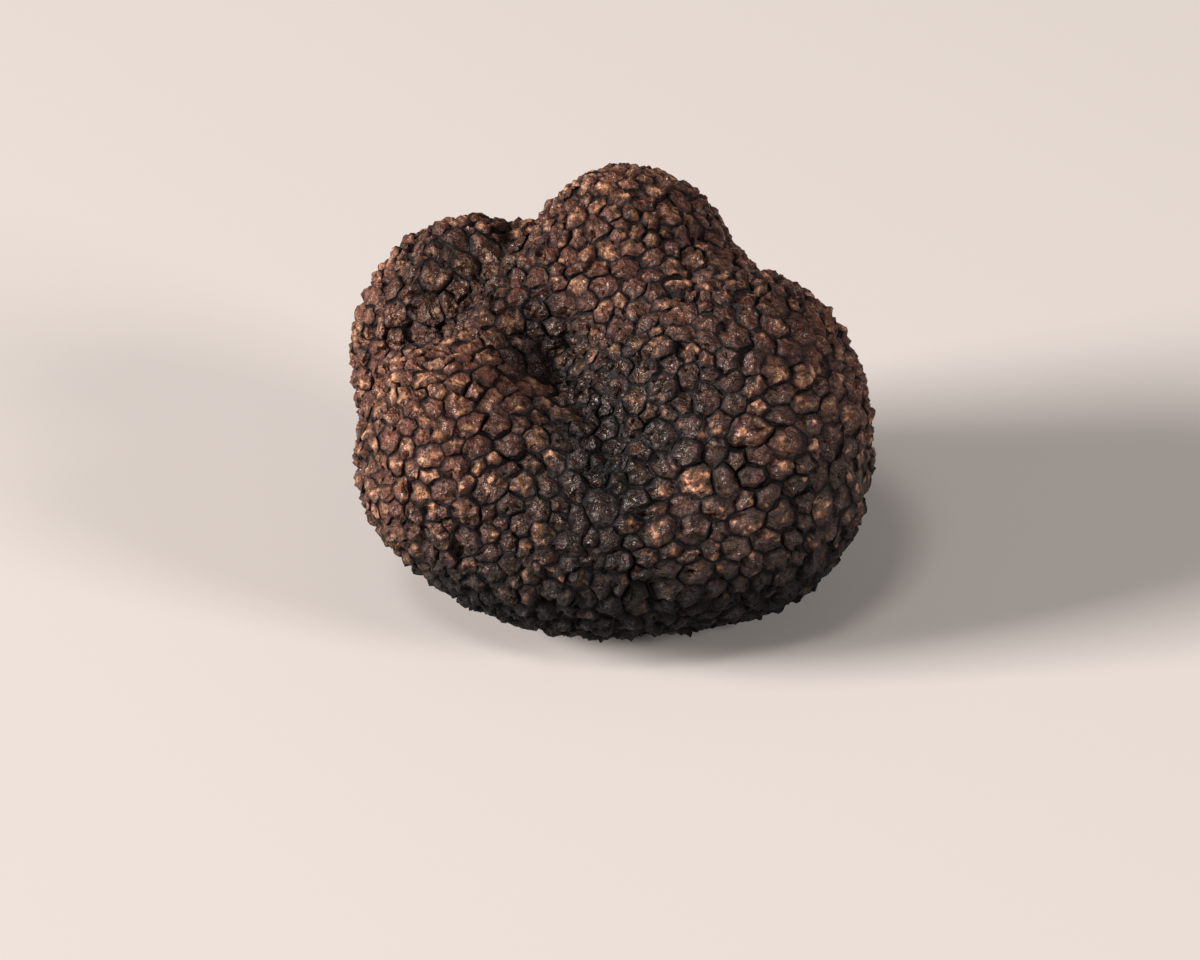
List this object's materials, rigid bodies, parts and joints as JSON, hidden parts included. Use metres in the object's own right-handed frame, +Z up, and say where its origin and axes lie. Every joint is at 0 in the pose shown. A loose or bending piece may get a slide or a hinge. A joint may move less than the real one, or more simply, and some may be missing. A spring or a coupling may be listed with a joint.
{
  "type": "black truffle",
  "caption": "Whole black truffle: a lobed, knobbly tuber with a skin of low polygonal warts, cracks and a small navel, resting on a small flat spot.",
  "frame": {"origin": "on the flat spot that the truffle rests on, under its middle", "axes": "+Z up from the surface it rests on, +X towards the big right cheek, -Y towards the side seen in the picture"},
  "size_m": [0.0502, 0.0452, 0.0375],
  "materials": {
    "truffle_skin": "dry, rough warty skin, brown-black in the grooves with rust-brown worn wart tips and a faint waxy glint"
  },
  "bodies": {
    "root": {"truffle": "truffle_skin"}
  },
  "joints": []
}
